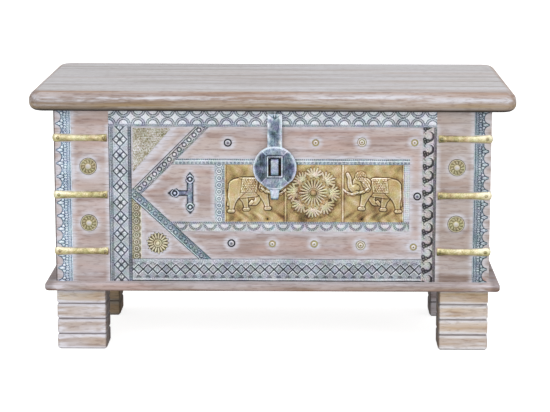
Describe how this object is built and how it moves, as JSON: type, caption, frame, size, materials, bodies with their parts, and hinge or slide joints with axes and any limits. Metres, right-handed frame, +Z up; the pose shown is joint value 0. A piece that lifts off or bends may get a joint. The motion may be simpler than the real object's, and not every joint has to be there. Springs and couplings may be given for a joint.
{
  "type": "dowry chest",
  "caption": "Low wooden storage chest on grooved block legs, with a hinged bullnose lid, an iron hasp over a padlock staple, and a front of embossed tin and brass.",
  "frame": {"origin": "on the floor, under the centre of the bounding box, which is the lid's centre", "axes": "+X along the chest to the viewer's right, +Y from the front to the back, +Z up"},
  "size_m": [0.9, 0.45, 0.493],
  "materials": {
    "whitewashed_wood": "whitewashed and rubbed back, matt",
    "embossed_tin": "embossed, dark in the recesses, dull satin",
    "aged_brass": "embossed, whitewashed, dull satin",
    "worn_iron": "hammered and worn, dull"
  },
  "bodies": {
    "chest": {"back_left_leg": "whitewashed_wood", "back_panel": "whitewashed_wood", "back_right_leg": "whitewashed_wood", "base_board": "whitewashed_wood", "bottom_border_strip": "embossed_tin", "brass_corner_sheet": "aged_brass", "brass_nails": "aged_brass", "brass_ring_strip": "aged_brass", "double_ring_nails": "aged_brass", "front_left_leg": "whitewashed_wood", "front_panel": "whitewashed_wood", "front_right_leg": "whitewashed_wood", "hinge_body_screws": "worn_iron", "iron_ring_nails": "worn_iron", "iron_t_strap": "worn_iron", "left_border_strip": "embossed_tin", "left_column_strip": "embossed_tin", "left_elephant_tile": "aged_brass", "left_hinge_body_leaf": "worn_iron", "left_hinge_pin": "worn_iron", "left_lower_rosette": "aged_brass", "left_lower_strap": "aged_brass", "left_middle_strap": "aged_brass", "left_panel": "whitewashed_wood", "left_stile": "whitewashed_wood", "left_upper_rosette": "aged_brass", "left_upper_strap": "aged_brass", "lotus_tile": "aged_brass", "lower_diagonal_strip": "embossed_tin", "padlock_staple": "worn_iron", "right_border_strip": "embossed_tin", "right_column_strip": "embossed_tin", "right_elephant_tile": "aged_brass", "right_hinge_body_leaf": "worn_iron", "right_hinge_pin": "worn_iron", "right_lower_rosette": "aged_brass", "right_lower_strap": "aged_brass", "right_middle_strap": "aged_brass", "right_panel": "whitewashed_wood", "right_stile": "whitewashed_wood", "right_upper_rosette": "aged_brass", "right_upper_strap": "aged_brass", "strap_nails": "aged_brass", "sunburst_boss": "aged_brass", "t_strap_nails": "worn_iron", "tile_frame_bottom": "embossed_tin", "tile_frame_left": "embossed_tin", "tile_frame_right": "embossed_tin", "tile_frame_top": "embossed_tin", "top_border_strip": "embossed_tin", "upper_diagonal_strip": "embossed_tin"},
    "lid": {"lid_board": "whitewashed_wood", "left_lid_batten": "whitewashed_wood", "right_lid_batten": "whitewashed_wood", "left_hinge_lid_leaf": "worn_iron", "right_hinge_lid_leaf": "worn_iron", "hinge_lid_screws": "worn_iron", "hasp_eye": "worn_iron"},
    "hasp": {"hasp": "worn_iron"}
  },
  "joints": [
    {"name": "lid_hinge", "type": "hinge", "parent": "chest", "child": "lid", "pos_m": [0, 0.173, 0.449], "axis": [-1, 0, 0], "range_deg": [0, 95]},
    {"name": "hasp_swing", "type": "hinge", "parent": "lid", "child": "hasp", "pos_m": [0.004, -0.208, 0.4485], "axis": [-1, 0, 0], "range_deg": [0, 100]}
  ]
}
